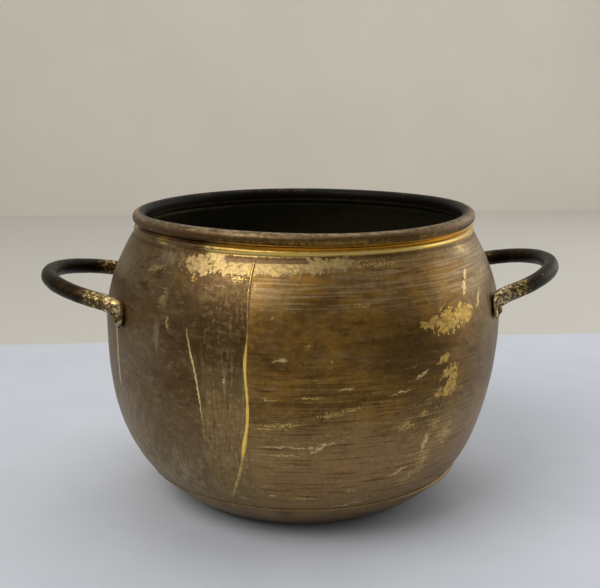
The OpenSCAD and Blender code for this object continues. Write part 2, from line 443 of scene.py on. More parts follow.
def spin(name, profile, segments, material, **values):
    """A sheet or a wire turned from its outline, whose soot starts at one of its points."""
    path, soot_from = profile
    outline = [(r, 0.0, z) for r, z in path]
    outline.append(outline[0])
    return grown(polyline(name, outline), spun_sheet, material,
                 segments=segments, points=len(outline), soot_from=soot_from, **values)


# ---------------------------------------------------------------- finishes

DEEP_BROWN = (0.074, 0.036, 0.007)
GREY_BROWN = (0.168, 0.110, 0.058)
UMBER = (0.150, 0.082, 0.021)
AMBER = (0.265, 0.138, 0.024)
OLIVE = (0.205, 0.145, 0.050)
ROSE_BROWN = (0.310, 0.185, 0.076)
# Pale grey-tan of smears and strokes; also painted highlights on the rim's top and painted reflections at
# the pot's sides.
PALE_SMEAR_AND_HIGHLIGHT = (0.420, 0.330, 0.200)
DULL_GOLD = (0.350, 0.212, 0.038)
RUBBED_GOLD = (0.580, 0.375, 0.080)
PALE_GOLD = (0.720, 0.550, 0.240)
BRIGHT_GOLD = (0.980, 0.660, 0.140)
ROSE_GOLD = (0.480, 0.330, 0.165)
TAN_GOLD = (0.340, 0.255, 0.130)
# Black of the soot inside, which on the curl's inner half is also painted shade; also used for dark lines
# and specks.
SOOT_AND_SHADE_BLACK = (0.007, 0.006, 0.004)
# Lighter black for deep inside: painted fill light where little light reaches.
SOOT_LIFTED_BY_PAINTED_FILL = (0.110, 0.105, 0.060)
BLACK_BROWN = (0.014, 0.010, 0.006)

MM_PER_DEGREE = body_r / MM * TURN / 360
SHAKE_SIZE, SHAKE_EAST, SHAKE_UP = 3.4, 9.0, 6.5


class Surface(Tree):
    """A material's tree, with places on the pot: height and reach in mm, bearing in degrees."""

    def __init__(self, name):
        self.material = bpy.data.materials.new(name)
        self.material.use_nodes = True
        super().__init__(self.material.node_tree)
        self.shader = self.nodes["Principled BSDF"]
        coords = self.node("ShaderNodeTexCoord")
        self.place = self.measured(self.out(coords, "Object"), MM, MM, MM)
        x, y, z = self.split(self.place)
        reach = (x * x + y * y) ** 0.5
        bearing = x.math("ARCTAN2", -y) * (360 / TURN)
        # Level all round and square to the sheet, both up the wall and under the pot.
        self.rolled = self.joined(x, y, z - reach)
        # The wall unrolled, in mm, and shaken so that what is placed on it has a broken edge.
        shaken = self.measured(self.place, SHAKE_SIZE, SHAKE_SIZE, SHAKE_SIZE)
        east, up, _ = self.split_colour(self.noise(shaken, 4.0, 71.0, 0.65, "Color"))
        self.ragged = self.joined(bearing * MM_PER_DEGREE + (east - 0.5) * SHAKE_EAST,
                                  z + (up - 0.5) * SHAKE_UP, 0.0)
        # The renderer works a tree out in layers: joined and split again, these fall in the last one,
        # with the masks that use them, which keeps the tree within the renderer's memory.
        self.x, self.y, self.z = self.split(self.joined(x, y, z))
        self.bearing, self.reach, _ = self.split(self.joined(bearing, reach, 0.0))

    def split_colour(self, colour):
        made = self.node("ShaderNodeSeparateColor", [colour])
        return [self.out(made, channel) for channel in ("Red", "Green", "Blue")]

    def measured(self, vector, east, north, up, tilt=0.0):
        """The vector in units of these sizes, after a tilt in degrees about the north axis."""
        return self.add("ShaderNodeMapping", {
            "Vector": vector, "Rotation": (0.0, math.radians(tilt), 0.0), "Scale": (east, north, up)},
            vector_type="TEXTURE")

    def blend(self, under, over, mask):
        """Mixes colours."""
        made = self.node("ShaderNodeMix", {"Factor": mask}, data_type="RGBA")
        for label, colour in {"A": under, "B": over}.items():
            socket = next(s for s in made.inputs if s.name == label and s.type == "RGBA")
            if isinstance(colour, Value):
                self.links.new(colour.socket, socket)
            else:
                socket.default_value = (*colour, 1.0)
        return Value(self, next(s for s in made.outputs if s.type == "RGBA"))

    def noise(self, vector, detail, seed, roughness=0.55, output=0):
        """The same, a little rougher."""
        return super().noise(vector, detail, seed, roughness, output)

    def cloud(self, size, detail, seed):
        """Soft noise of one size, in mm, the same in all directions."""
        return self.noise(self.measured(self.place, size, size, size), detail, seed)

    def brushed(self, length, width, detail, seed):
        """Noise drawn out level, round the pot: length and width in mm."""
        return self.noise(self.measured(self.rolled, length, length, width), detail, seed)

    def stroked(self, width, length, detail, seed):
        """Noise drawn out upright: width and length in mm."""
        return self.noise(self.measured(self.place, width, width, length), detail, seed)

    def ramp(self, value, low, high):
        """0 up to low, 1 from high, smooth between."""
        return self.add("ShaderNodeMapRange", {"Value": value, "From Min": low, "From Max": high},
                        interpolation_type="SMOOTHSTEP")

    def window(self, value, low, high, soft):
        """1 between low and high, fading to 0 over soft outside them."""
        return self.ramp(value, low - soft, low) * self.ramp(value, high + soft, high)

    def spot(self, bearing, z, wide, tall, tilt=0.0):
        """1 at a place on the wall, 0.5 on an ellipse round it, and 0 from twice its size.

        The ellipse's half sizes are wide, in degrees, and tall, in mm, and tilt turns it."""
        local = self.add("ShaderNodeMapping", {
            "Vector": self.ragged, "Location": (bearing * MM_PER_DEGREE, z, 0.0),
            "Rotation": (0.0, 0.0, math.radians(tilt)),
            "Scale": (wide * MM_PER_DEGREE * 2, tall * 2, 1.0)}, vector_type="TEXTURE")
        return self.add("ShaderNodeTexGradient", [local], 1, gradient_type="SPHERICAL")

    def spots(self, places):
        """1 at the middle of the nearest place, 0 on its edge, and -1 far from all of them."""
        made = self.spot(*places[0])
        for place in places[1:]:
            made = made.most(self.spot(*place))
        return made * 2 - 1

    def specks(self, east, up, share, seed, size=0.20, tilt=0.0):
        """Small marks in a share of the cells, whose sizes are in mm."""
        cell = self.node("ShaderNodeTexVoronoi", {
            "Vector": self.measured(self.place, east, east, up, tilt), "W": seed, "Scale": 1.0},
            voronoi_dimensions="4D")
        pick, _, _ = self.split_colour(self.out(cell, "Color"))
        return (self.ramp(self.out(cell, "Distance"), size, size * 0.4)
                * self.ramp(pick, 1 - share, 1 - share + 0.02))

    def feed(self, **values):
        """Links values to the shader's sockets, named in small letters and with _ for a space."""
        for name, value in values.items():
            self.links.new(value.socket, self.shader.inputs[name.replace("_", " ").title()])

    def finish(self, coats, height, depth):
        """Ends a finish made of coats. The height is a bump whose depth is in mm."""
        bump = self.add("ShaderNodeBump", {"Height": height, "Distance": depth * MM, "Strength": 1.0})
        self.feed(base_color=coats.colour, roughness=coats.roughness, metallic=coats.metallic, normal=bump)
        return self.material


class Coats:
    """A finish built up in coats: each one covers those under it where its mask is 1."""

    def __init__(self, surface, colour, roughness, metallic):
        self.surface = surface
        self.colour = colour
        self.roughness = roughness
        self.metallic = metallic

    def coat(self, mask, colour=None, roughness=None, metallic=None):
        if colour is not None:
            self.colour = self.surface.blend(self.colour, colour, mask)
        if roughness is not None:
            self.roughness = self.roughness + (roughness - self.roughness) * mask
        if metallic is not None:
            self.metallic = self.metallic + (metallic - self.metallic) * mask

    def shade(self, factor):
        """Multiplies the colour by a value."""
        self.colour = self.surface.add("ShaderNodeHueSaturation", {"Value": factor, "Color": self.colour})


# Places on the wall: bearing, height, half width in degrees, half height, and a tilt where one is given.
DARK_SIDE = [(25, 111, 16, 21, -12)]
DARK_MIDDLE = [(-8, 112, 9, 9), (-2, 141, 9, 10, 10)]
# Grey smears. Those at bearings 54 and 58 on the right shoulder and side, and at -72 high on the left, are
# painted reflections of the bright room where the wall turns away.
GREY_SMEARS_AND_REFLECTIONS = [
    (-45.6, 119, 2.2, 11), (-44.5, 137, 1.6, 8, -8), (-41, 42, 5, 13), (54, 159, 8, 4.5),
    (-47, 159, 9, 5), (58, 136, 13, 16), (-72, 148, 12, 9), (-64, 62, 13, 30), (-50, 34, 14, 12),
    (128, 96, 12, 26), (-140, 120, 14, 20), (170, 60, 16, 12)]
RUBBED_PATCHES = [
    (-35.5, 157.4, 5.0, 4.6), (-30, 161.0, 4.6, 4.6, -20), (-23, 156.6, 9.0, 2.6),
    (-12, 157.0, 9.0, 2.2), (-1.5, 159.4, 4.2, 4.2), (6, 159.6, 5.0, 2.4), (-16, 163.4, 15.0, 1.3),
    (-16, 159.0, 14.0, 2.4), (-51.5, 152.5, 4.0, 1.2, 10), (31, 127.6, 3.4, 2.6, 8),
    (36.8, 126.9, 5.0, 5.4, 6), (43.4, 128.2, 4.0, 5.4, 12), (34.4, 107.2, 2.0, 1.9, 20),
    (36.6, 99.4, 3.0, 2.6, 24), (38.2, 93.5, 1.5, 6.5), (35.4, 88.6, 2.8, 3.0)]
# The patch at bearing 53, 160.5 high on the right shoulder is part worn metal and part painted highlight.
THIN_PATCHES = [
    (11.2, 139.8, 4.2, 1.6, 4), (-9.5, 77.8, 8.5, 2.4, 2), (1.5, 84, 5.0, 2.0, 6),
    (-3, 31.5, 7.0, 3.2), (23.5, 73.5, 4, 3.6), (28.5, 78.5, 2.4, 2.4), (33, 70, 3, 6.0),
    (31.5, 48, 3.4, 12, -10), (-12.5, 92.2, 2.6, 1.2), (-3, 93.6, 5, 1.1, 2), (-17.4, 148, 0.9, 5.0),
    (38, 62, 5, 9), (17, 158.6, 9, 2.4), (-36, 150.5, 1.5, 2.0), (9.5, 36, 3, 1.2), (-14, 40, 3, 1),
    (-45.4, 138, 1.2, 7, -14), (8, 86.5, 4.5, 1.6, 6), (53, 160.5, 4, 3.5), (27, 38, 5, 4, 30),
    (-22, 152.2, 4, 2.2)]
BRIGHT_LINES = [
    (-8, 65.6, 11, 0.62, 0), (-10, 60.6, 8, 0.4, 1), (0.5, 65.6, 5.0, 1.2, 26), (2, 67.9, 3.2, 1.0, 4),
    (21, 93.0, 4.2, 0.7, 5), (27.5, 101.2, 3.2, 1.1, 22), (-9.6, 113.6, 2.8, 1.0, 8),
    (23.5, 45, 4.2, 1.3, 22), (8, 24.5, 10, 0.6, 9), (6.2, 98, 1.9, 0.9, 8), (-42, 126.5, 0.7, 4.2, 22),
    (-3, 121, 1.2, 0.8), (-13.8, 33, 2.2, 0.6), (-24.5, 101, 0.4, 4.0), (46, 141, 0.8, 6, -40),
    (52, 133, 0.7, 7, -36), (49, 147, 0.7, 5, -48), (30.5, 60, 1.0, 8, -8)]
DARK_LINES = [(0.4, 83, 0.30, 5), (32, 91, 0.4, 12, -6), (34, 86, 0.35, 14, -6), (36, 133.5, 5.0, 0.8, 30)]

SEAM_EDGE = (-18.7, -18.1)                  # bearings between which one side's patina gives way
SCRATCH_BEARING = -30.9                     # the long scratch's foot, left of the seam
SCRATCH_BEND = 4.3                          # degrees that its top leans away by
KEPT_STRIP = (-27.5, -4, 160.0, 162.6)      # dark strip in the gold band: bearings, then heights


class Sheet(Surface):
    """The sheet's surface, with the noises and the areas that its coats share."""

    def __init__(self):
        super().__init__("Patinated brass")
        self.broad = self.cloud(34, 2.0, 1.0)
        self.mid = self.cloud(11, 3.0, 2.0)
        self.fine = self.cloud(2.2, 3.0, 3.0)
        self.grain = self.cloud(0.8, 2.0, 4.0)
        self.band = self.brushed(70, 4.5, 4.0, 5.0)
        self.brush = self.brushed(22, 0.8, 3.0, 6.0)
        self.hair = self.brushed(9, 0.30, 2.0, 7.0)
        self.stroke = self.stroked(1.5, 24, 3.0, 8.0)
        # The seam divides the front sharply, and the panel is between it and the long scratch.
        around, mid = self.bearing, self.mid
        self.past_seam = self.ramp(around + (mid - 0.5) * 1.2, *SEAM_EDGE)
        self.right_of_seam = self.past_seam * self.side(46, -0.3, 0.2)
        self.left_of_seam = self.side(-62, -0.2, 0.25) * (1 - self.past_seam)
        self.panel = (self.window(around + (mid - 0.5) * 5, -30.0, -19.0, 2.0)
                      * self.ramp(self.z, 20, 34) * self.ramp(self.z, 156, 148))
        self.flake = self.noise(self.measured(self.rolled, 5.5, 5.5, 3.0), 6.0, 17.0, 0.68)

    def side(self, bearing, low, high):
        """1 on the side of the pot that faces a bearing, where low and high are cosines."""
        return self.ramp((self.bearing - bearing).math("RADIANS").math("COSINE"), low, high)

    def above(self, low, high, noise, sway):
        """1 above a height, 0 below it, where the edge is swayed by noise; falling if high < low."""
        return self.ramp(self.z + (noise - 0.5) * sway, low, high)


def lay_ground(s):
    """The patina's ground: the tone of each area, its streaks, blotches and flakes."""
    mid, broad, band = s.mid, s.broad, s.band
    coats = Coats(s, s.blend(UMBER, OLIVE, s.ramp(broad * 0.7 + mid * 0.3, 0.38, 0.62)),
                  0.37 + broad * 0.12 + s.fine * 0.08, 0.84 + mid * 0.05)
    coats.coat(s.left_of_seam * s.ramp(broad + mid * 0.4, 0.45, 0.85), GREY_BROWN)
    coats.coat(s.left_of_seam * s.ramp(s.bearing, -56, -33) * s.above(55, 100, broad, 50) * 0.7,
               DEEP_BROWN, 0.37)
    amber_zone = s.right_of_seam * s.above(68, 102, broad, 60) * s.ramp(s.bearing, 60, 34)
    coats.coat(amber_zone * s.ramp(s.z, 166, 150),
               s.blend(AMBER, UMBER, s.ramp(mid, 0.40, 0.62) * 0.8), 0.46)
    streaky = s.above(122, 96, broad, 30) * 0.34 + 0.20
    coats.coat(s.right_of_seam * s.ramp(band * 0.7 + s.brush * 0.3, 0.50, 0.38) * streaky, DEEP_BROWN)
    blotch = s.noise(s.measured(s.rolled, 17, 17, 9), 5.0, 16.0, 0.62)
    coats.coat(s.ramp(blotch, 0.47, 0.36) * 0.55, DEEP_BROWN, 0.36)
    coats.coat(s.ramp(blotch, 0.53, 0.66) * 0.45, s.blend(OLIVE, ROSE_BROWN, s.past_seam), 0.46)
    coats.coat(s.ramp(s.flake, 0.54, 0.60) * s.ramp(mid, 0.38, 0.56) * (0.30 - s.past_seam * 0.14),
               s.blend(PALE_SMEAR_AND_HIGHLIGHT, ROSE_BROWN, mid), 0.48)
    coats.coat(s.ramp(s.flake, 0.46, 0.40) * 0.26, DEEP_BROWN, 0.38)
    coats.coat(s.ramp(s.spots(DARK_SIDE) + (band - 0.5) * 2.0, -0.3, 0.7) * 0.8, DEEP_BROWN, 0.36)
    coats.coat(s.ramp(s.spots(DARK_MIDDLE) + (band - 0.5) * 3.0, -0.2, 0.9) * 0.5, DEEP_BROWN, 0.40)
    coats.coat(s.right_of_seam * s.above(88, 56, mid, 50) * 0.8, ROSE_BROWN, 0.42)
    coats.coat(s.above(44, 18, mid, 20) * 0.6, s.blend(ROSE_BROWN, OLIVE, mid), 0.46)
    return coats


def stroke_panel(s, coats):
    """Upright strokes between the long scratch and the seam, and low down to their left."""
    panel_low = s.panel * s.above(114, 84, s.mid, 34)
    coats.coat(panel_low * 0.75, s.blend(ROSE_BROWN, OLIVE, s.mid), 0.42)
    strokes = s.stroke * 0.7 + s.fine * 0.3
    coats.coat(s.panel * s.ramp(strokes, 0.52, 0.62) * (panel_low * 0.2 + 0.22), PALE_SMEAR_AND_HIGHLIGHT, 0.44)
    coats.coat(s.panel * s.ramp(strokes, 0.46, 0.38) * 0.55, DEEP_BROWN)
    low_strokes = s.left_of_seam * s.above(66, 46, s.mid, 24) * s.ramp(s.z, 16, 26)
    coats.coat(low_strokes * s.ramp(s.stroked(3.2, 30, 3.0, 10.0), 0.48, 0.62) * 0.42, PALE_SMEAR_AND_HIGHLIGHT, 0.44)
    coats.coat(low_strokes * 0.35, OLIVE)


def brush_round(s, coats):
    """Brushed marks right of the seam, round the foot and, faintly, everywhere; and grey smears, some of
    them painted reflections.
    """
    brushed_right = s.right_of_seam * s.above(124, 92, s.broad, 30) * s.ramp(s.bearing, 64, 44)
    brushed = brushed_right.most(s.ramp(s.z, 40, 26) * 0.5).most(0.22)
    here_and_there = s.ramp(s.mid * 0.6 + s.band * 0.4, 0.42, 0.58)
    coats.coat(brushed * s.ramp(s.brush, 0.47, 0.35) * 0.55, DEEP_BROWN, 0.46)
    coats.coat(brushed * here_and_there * s.ramp(s.brush * 0.75 + s.fine * 0.25, 0.53, 0.63) * 0.6,
               s.blend(DULL_GOLD, PALE_SMEAR_AND_HIGHLIGHT, s.fine), 0.38)
    high_brush = s.window(s.z, 142, 156, 8) * s.ramp(s.brushed(30, 1.6, 3.0, 13.0), 0.46, 0.64)
    coats.coat(s.right_of_seam * high_brush * 0.4, PALE_SMEAR_AND_HIGHLIGHT, 0.42)
    # Grey smears; at the pot's sides they are painted reflections.
    smear_and_reflection = s.spots(GREY_SMEARS_AND_REFLECTIONS) + (s.stroked(2.6, 14, 4.0, 9.0) - 0.5) * 3.4
    coats.coat(s.ramp(smear_and_reflection, -0.1, 1.1) * 0.36, PALE_SMEAR_AND_HIGHLIGHT, 0.48)


def rub_through(s, coats):
    """Patches rubbed to bright metal: solid ones, and thin ones where only the grain shows.

    Returns the mask of the solid ones."""
    mid, fine, grain = s.mid, s.fine, s.grain
    rub = s.ramp(s.spots(RUBBED_PATCHES) + (fine - 0.5) * 2.6, -0.14, 0.14)
    thin = s.ramp(s.spots(THIN_PATCHES) + (grain * 0.4 + s.brush * 0.6 - 0.5) * 5.0, 0.2, 1.0)
    anywhere = s.ramp((s.broad * 0.7 + mid * 0.3 - 0.5) * 3.0 + (fine * 0.4 + s.band * 0.6 - 0.5) * 3.0,
                      0.82, 1.0)
    behind = s.ramp((-s.y) / s.reach, 0.30, -0.1)
    left, right, low, high = KEPT_STRIP
    kept_strip = (s.window(s.bearing + (fine - 0.5) * 8, left, right, 1.2)
                  * s.window(s.z + (fine - 0.5) * 1.6, low, high, 0.35))
    worn = rub.most(anywhere * behind) * (1 - kept_strip)
    coats.coat(kept_strip * 0.85, s.blend(DEEP_BROWN, GREY_BROWN, fine), 0.38)
    granular = s.ramp(grain * 0.55 + fine * 0.45, 0.38, 0.56)
    high_up = s.ramp(s.z, 138, 148)
    dull = s.blend(s.blend(DULL_GOLD, ROSE_GOLD, mid * 0.6), TAN_GOLD, high_up)
    coats.coat(worn * 0.85, dull, 0.50, 0.95)
    coats.coat(worn * granular * 0.8, s.blend(RUBBED_GOLD, TAN_GOLD, high_up * 0.6), 0.46, 1.0)
    coats.coat(worn * s.ramp(grain, 0.56, 0.70) * (0.8 - high_up * 0.35), PALE_GOLD, 0.40, 1.0)
    coats.coat(worn * s.ramp(s.flake, 0.46, 0.43) * 0.5, UMBER, 0.50)
    coats.coat(thin * 0.30, DULL_GOLD, 0.44)
    coats.coat(thin * s.ramp(grain, 0.42, 0.58) * 0.75, s.blend(RUBBED_GOLD, PALE_GOLD, fine), 0.40, 1.0)
    return worn


def rub_and_highlight_ridge(s, coats, worn):
    """The ridge under the rim is rubbed in two lines, most on the right, over a dark one. The gold is
    partly painted highlight, brightened against the bead's shadow.
    """
    ridge_side = s.ramp(s.bearing, -38, -26).most(s.ramp(s.broad, 0.5, 0.62) * 0.5)
    ridge_lines = s.window(s.z, 166.5, 167.8, 0.4).most(s.window(s.z, 164.2, 165.0, 0.4))
    ridge_rub_and_highlight = ridge_side * ridge_lines * s.ramp(s.band * 0.5 + s.fine * 0.5, 0.32, 0.46)
    # Gold over the whole ridge, brighter than the worn metal to make up for the bead's shadow: partly
    # painted highlight.
    coats.coat(s.window(s.z, 163.6, 168.4, 0.6) * ridge_side * 0.8,
               s.blend(DULL_GOLD, RUBBED_GOLD, s.fine), 0.36)
    # The two bright lines: rubbed brass and painted highlight.
    coats.coat(ridge_rub_and_highlight, s.blend(BRIGHT_GOLD, PALE_GOLD, s.ramp(s.fine, 0.45, 0.6)), 0.30, 1.0)
    coats.coat(s.window(s.z, 161.8, 163.0, 0.6) * (1 - worn) * 0.5, DEEP_BROWN, 0.5)


def scratch_wall(s, coats):
    """A long scratch left of the seam, one under the left foot, and short lines to the right.

    Returns the masks of the long one and of all the bright ones."""
    fine, grain, z = s.fine, s.grain, s.z
    bend = ((z - 68) / 55).limited() ** 2.0
    from_scratch = abs(s.bearing - SCRATCH_BEARING + bend * SCRATCH_BEND + (fine - 0.5) * 0.9)
    scratch_wide = 0.03 + 0.13 * s.window(z, 92, 116, 14)
    scratch = s.ramp(from_scratch - scratch_wide, 0.20, 0.0) * s.window(z, 62, 123, 4)
    scratch = scratch * s.above(66, 84, grain, 110)
    foot_line = s.ramp(abs(s.bearing + 66 + (s.mid - 0.5)), 0.85, 0.35) * s.window(z, 84, 116, 5)
    lines = s.ramp(s.spots(BRIGHT_LINES), 0.0, 0.6) * s.ramp(grain * 0.5 + fine * 0.5, 0.36, 0.54)
    cut = scratch.most(foot_line * 0.6).most(lines * 0.75)
    coats.coat(cut, PALE_GOLD, 0.32, 1.0)
    coats.coat(s.ramp(s.spots(DARK_LINES), 0.0, 0.8) * 0.75, SOOT_AND_SHADE_BLACK)
    return scratch, cut


def fleck_and_shade_bottom(s, coats):
    """Flecks, short nicks, hair lines, and painted shade low down. Returns the masks of the flecks and
    nicks.
    """
    speck = s.specks(6.0, 6.0, 0.14, 11.0)
    nick = s.specks(9.0, 2.2, 0.18, 12.0, 0.17, 24)
    shoulder_nicks = s.window(s.z, 128, 158, 6) * s.ramp(s.x, 50, 85)
    broken = s.ramp(s.grain * 0.5 + s.fine * 0.5, 0.40, 0.56)
    coats.coat((speck * 0.5).most(nick * (0.2 + shoulder_nicks * 0.8)) * broken, PALE_GOLD, 0.35)
    coats.coat(s.specks(4.5, 4.5, 0.10, 15.0) * 0.5, SOOT_AND_SHADE_BLACK, 0.6)
    # Hair lines and fine mottle darken the colour at random; below 16 mm it is darkened further as painted
    # shade under the pot.
    coats.shade((s.hair * 0.45 + 0.775) * (s.fine * 0.80 + 0.60) * (s.ramp(s.z, 2, 16) * 0.25 + 0.75))
    return speck, nick


def blacken_inside(s, coats):
    """Black inside, which on the curl's inner half is also painted shade. A painted highlight on partly
    worn soot lines the mouth's lower edge. Returns the soot's mask.
    """
    soot_and_shade = s.add("ShaderNodeAttribute", (), "Fac", attribute_name="soot_and_shade")
    # Below the mouth, the black is lifted towards a lighter grey: painted fill light.
    soot_with_painted_fill = s.blend(SOOT_AND_SHADE_BLACK, SOOT_LIFTED_BY_PAINTED_FILL, s.ramp(s.z, 169, 165) * (s.mid * 0.8 + 0.4))
    # Soot over the whole inside; on the curl's inner half it is also painted shade.
    coats.coat(soot_and_shade, soot_with_painted_fill, 0.52, 0.85)
    # A thin light line where the mouth's inner bend catches light: painted highlight on partly worn soot.
    coats.coat(soot_and_shade * s.window(s.z, 167.9, 168.5, 0.35) * s.ramp(s.fine, 0.35, 0.6) * 0.4, GREY_BROWN, 0.50)
    # Grey flecks on the curl's top: painted highlights.
    coats.coat(soot_and_shade * s.ramp(s.z, 172, 175) * s.ramp(s.flake, 0.55, 0.62) * 0.25, GREY_BROWN, 0.45)
    return soot_and_shade


def rub_and_highlight_rim(s, coats, soot_and_shade):
    """The top of the rim, down to where the soot starts: lightened grey as painted highlight, and rubbed
    gold.
    """
    z, fine, band, flake = s.z, s.fine, s.band, s.flake
    rim = s.window(z, 168.9, 177, 0.4) * (1 - soot_and_shade)
    # Grey-brown, lighter towards the top where it faces the light: painted highlight.
    coats.coat(rim * 0.8, s.blend(DEEP_BROWN, GREY_BROWN, s.ramp(z, 171.0, 175.0) * 0.8), 0.50, 0.85)
    # Grey streaks on the top: painted highlight.
    grey = s.ramp(band * 0.5 + fine * 0.5, 0.48, 0.62) * s.ramp(z, 171.5, 175.0)
    coats.coat(rim * grey * 0.5, PALE_SMEAR_AND_HIGHLIGHT, 0.44)
    # Pale flecks on the top: painted highlights.
    coats.coat(rim * s.ramp(flake, 0.50, 0.60) * s.ramp(z, 172.5, 175.0) * 0.5, PALE_SMEAR_AND_HIGHLIGHT, 0.42)
    coats.coat(rim * s.ramp(flake, 0.46, 0.38) * 0.5, DEEP_BROWN, 0.40)
    gold = s.ramp(z, 172.6, 170.4) * s.ramp(band * 0.6 + fine * 0.4, 0.46, 0.58)
    coats.coat(rim * gold * 0.55, DULL_GOLD, 0.40)


def patina_finish():
    """The sheet: brown and olive patina, brushed, stroked and rubbed through to gold."""
    s = Sheet()
    coats = lay_ground(s)
    stroke_panel(s, coats)
    brush_round(s, coats)
    worn = rub_through(s, coats)
    rub_and_highlight_ridge(s, coats, worn)
    scratch, cut = scratch_wall(s, coats)
    speck, nick = fleck_and_shade_bottom(s, coats)
    soot_and_shade = blacken_inside(s, coats)
    rub_and_highlight_rim(s, coats, soot_and_shade)
    bare = worn.most(cut) * (1 - soot_and_shade)
    height = (s.hair * 0.30 + s.brush * 0.30 + s.fine * 0.50 + s.grain * 0.30 - speck * 0.6 - nick * 0.5
              - scratch * 0.8)
    coats.roughness = coats.roughness + (s.hair - 0.5) * 0.16 - bare * 0.02
    return s.finish(coats, height, 0.09)


def braze_finish():
    """Braze: bright where it is rubbed, dull where the patina still covers it."""
    s = Surface("Braze")
    fine = s.cloud(1.6, 3.0, 21.0)
    mid = s.cloud(7.0, 2.0, 22.0)
    grain = s.cloud(0.6, 2.0, 23.0)
    bright = s.window(s.z + (mid - 0.5) * 10, 62, 121, 7)
    tan = s.window(s.z, 32, 66, 4)
    high_marks = s.window(s.z, 134, 152, 4) * s.ramp(fine * 0.5 + mid * 0.5, 0.42, 0.52)
    coats = Coats(s, s.blend(OLIVE, ROSE_BROWN, fine), 0.42 + fine * 0.15, 0.85 + mid * 0.05)
    coats.coat(high_marks * 0.8, s.blend(PALE_SMEAR_AND_HIGHLIGHT, RUBBED_GOLD, mid), 0.40)
    coats.coat(s.ramp(s.z, 151, 154) * s.ramp(grain, 0.35, 0.55), RUBBED_GOLD, 0.34, 1.0)
    coats.coat(tan * s.ramp(fine, 0.30, 0.55), s.blend(DULL_GOLD, PALE_GOLD, fine), 0.38, 1.0)
    coats.coat(bright, s.blend(BRIGHT_GOLD, PALE_GOLD, s.ramp(fine, 0.55, 0.85)), 0.34, 1.0)
    coats.coat(s.ramp(grain, 0.58, 0.72) * 0.4, DULL_GOLD)
    foot = s.ramp(s.z, 30, 26)
    coats.coat(foot * 0.9, s.blend(ROSE_BROWN, GREY_BROWN, fine), 0.46, 0.85)
    coats.coat(foot * s.ramp(s.brushed(14, 1.5, 2.0, 24.0), 0.56, 0.66) * 0.30, PALE_SMEAR_AND_HIGHLIGHT, 0.40)
    return s.finish(coats, fine * 0.7 + grain * 0.4, 0.16)


def handle_finish():
    """The handles: black-brown, scraped, worn to gold near the feet."""
    s = Surface("Dark handle brass")
    fine = s.cloud(1.7, 3.0, 31.0)
    mid = s.cloud(8.0, 3.0, 32.0)
    grain = s.cloud(0.7, 2.0, 33.0)
    scrape = s.noise(s.measured(s.place, 1.2, 9, 1.2), 2.0, 34.0)
    coats = Coats(s, s.blend(BLACK_BROWN, DEEP_BROWN, s.ramp(mid, 0.46, 0.74) * 0.5),
                  0.36 + mid * 0.14 + fine * 0.08, 0.88 + mid * 0.1)
    coats.coat(s.ramp(scrape, 0.60, 0.74) * 0.4, UMBER, 0.36)
    near_foot = s.ramp(abs(s.x), 131, 121)
    gold = s.ramp(near_foot * 0.50 + mid * 0.6 + fine * 0.5 + (grain - 0.5) * 0.6, 1.06, 1.20)
    foot = s.ramp(abs(s.x), 117.0, 114.0)
    coats.coat(near_foot * 0.5, s.blend(UMBER, OLIVE, fine), 0.42)
    coats.coat(foot * 0.7, s.blend(GREY_BROWN, PALE_SMEAR_AND_HIGHLIGHT, s.ramp(fine, 0.40, 0.62)), 0.40)
    coats.coat(gold * 0.8, s.blend(DULL_GOLD, PALE_GOLD, grain), 0.34, 1.0)
    coats.coat(near_foot * s.ramp(fine, 0.52, 0.62) * 0.65, PALE_GOLD, 0.30, 1.0)
    coats.coat(near_foot * s.ramp(fine, 0.44, 0.34) * 0.7, SOOT_AND_SHADE_BLACK, 0.6)
    coats.coat(s.specks(6.0, 6.0, 0.12, 35.0) * 0.5, DULL_GOLD)
    coats.shade(0.75 + fine * 0.5)
    height = fine * 0.8 + grain * 0.35 + scrape * 0.3 - gold * 0.3
    return s.finish(coats, height, 0.13)


def rivet_finish():
    """Hammered rivet heads: dull, with dark and rubbed blotches, and black inside the pot."""
    s = Surface("Rivet brass")
    fine = s.cloud(1.1, 3.0, 41.0)
    mid = s.cloud(4.0, 2.0, 42.0)
    coats = Coats(s, s.blend(DEEP_BROWN, OLIVE, s.ramp(mid, 0.35, 0.65)),
                  0.34 + fine * 0.2, 0.85 + mid * 0.1)
    coats.coat(s.ramp(fine * 0.6 + mid * 0.4, 0.54, 0.66) * 0.5, DULL_GOLD, 0.32, 1.0)
    coats.coat(s.ramp(fine, 0.40, 0.30) * 0.7, SOOT_AND_SHADE_BLACK, 0.55)
    inside_pot = s.ramp(s.reach, 114.5, 113.0)
    coats.coat(inside_pot, SOOT_AND_SHADE_BLACK, 0.6, 0.3)
    return s.finish(coats, fine, 0.16)


def wire_finish():
    """Drawn wire, with fine lines along it."""
    s = Surface("Drawn wire brass")
    drawn = s.brushed(30, 0.5, 3.0, 51.0)
    fine = s.cloud(1.5, 2.0, 52.0)
    coats = Coats(s, s.blend(DULL_GOLD, RUBBED_GOLD, drawn), 0.34 + fine * 0.15, 0.95 + fine * 0.05)
    return s.finish(coats, drawn, 0.05)


def stage_finish(name, low, high, size, roughness):
    """A pale, plain surface with a faint mottle of one size, in mm. Returns it and its colour."""
    s = Surface(name)
    s.shader.inputs["Roughness"].default_value = roughness
    return s, s.blend(low, high, s.ramp(s.cloud(size, 4.0, 61.0), 0.3, 0.7))


def floor_finish():
    """Pale and cool near the pot, warmer from behind it."""
    s, colour = stage_finish("Pale floor", (0.57, 0.61, 0.69), (0.60, 0.64, 0.72), 60, 0.5)
    s.feed(base_color=s.blend(colour, (0.57, 0.555, 0.51), s.ramp(s.y, 334, 338)))
    return s.material


